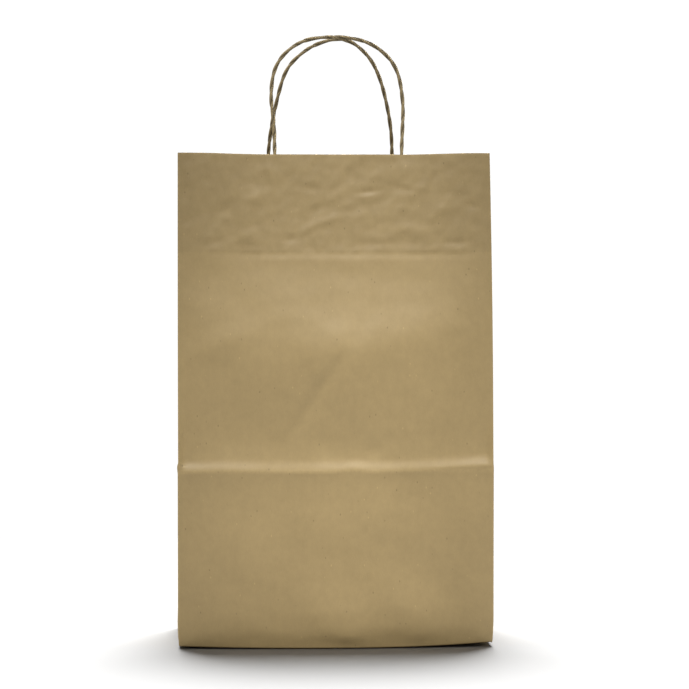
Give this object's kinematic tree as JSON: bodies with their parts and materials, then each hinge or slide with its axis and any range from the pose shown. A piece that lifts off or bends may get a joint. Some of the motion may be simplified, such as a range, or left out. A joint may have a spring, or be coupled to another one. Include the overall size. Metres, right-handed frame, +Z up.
{
  "type": "gift bag",
  "caption": "Flat-bottomed kraft paper carrier bag with side gussets, a turned-in top hem and a twisted-cord handle on each face, standing open.",
  "frame": {"origin": "on the standing surface under the middle of the base", "axes": "+Z up, +X to the right across the front panel, front panel towards -Y"},
  "size_m": [0.254, 0.1272, 0.4949],
  "materials": {
    "sheet_kraft": "uncoated brown kraft, matt",
    "patch_kraft": "uncoated brown kraft, matt, glued",
    "cord_kraft": "twisted kraft paper cord, matt"
  },
  "bodies": {
    "bag": {"back_cord_left_leg": "cord_kraft", "back_cord_right_leg": "cord_kraft", "back_hem": "sheet_kraft", "back_panel_lower": "sheet_kraft", "back_panel_upper": "sheet_kraft", "back_patch_flat_ply": "patch_kraft", "back_patch_formed_ply": "patch_kraft", "base_back_flap": "sheet_kraft", "base_front_flap": "sheet_kraft", "base_left_back_corner_fold": "sheet_kraft", "base_left_front_corner_fold": "sheet_kraft", "base_left_tuck": "sheet_kraft", "base_right_back_corner_fold": "sheet_kraft", "base_right_front_corner_fold": "sheet_kraft", "base_right_tuck": "sheet_kraft", "front_cord_left_leg": "cord_kraft", "front_cord_right_leg": "cord_kraft", "front_hem": "sheet_kraft", "front_panel_lower": "sheet_kraft", "front_panel_upper": "sheet_kraft", "front_patch_flat_ply": "patch_kraft", "front_patch_formed_ply": "patch_kraft", "left_gusset_back_wing": "sheet_kraft", "left_gusset_centre": "sheet_kraft", "left_gusset_front_wing": "sheet_kraft", "left_gusset_hem": "sheet_kraft", "left_gusset_lower": "sheet_kraft", "right_gusset_back_wing": "sheet_kraft", "right_gusset_centre": "sheet_kraft", "right_gusset_front_wing": "sheet_kraft", "right_gusset_hem": "sheet_kraft", "right_gusset_lower": "sheet_kraft", "seam_flap": "sheet_kraft"},
    "front_handle": {"front_cord_loop": "cord_kraft"},
    "back_handle": {"back_cord_loop": "cord_kraft"}
  },
  "joints": [
    {"name": "front_handle_fold", "type": "hinge", "parent": "bag", "child": "front_handle", "pos_m": [0.0034, -0.0275, 0.40008], "axis": [1, 0, 0], "range_deg": [-10, 90]},
    {"name": "back_handle_fold", "type": "hinge", "parent": "bag", "child": "back_handle", "pos_m": [-0.0004, 0.0275, 0.40008], "axis": [-1, 0, 0], "range_deg": [-10, 90]}
  ]
}
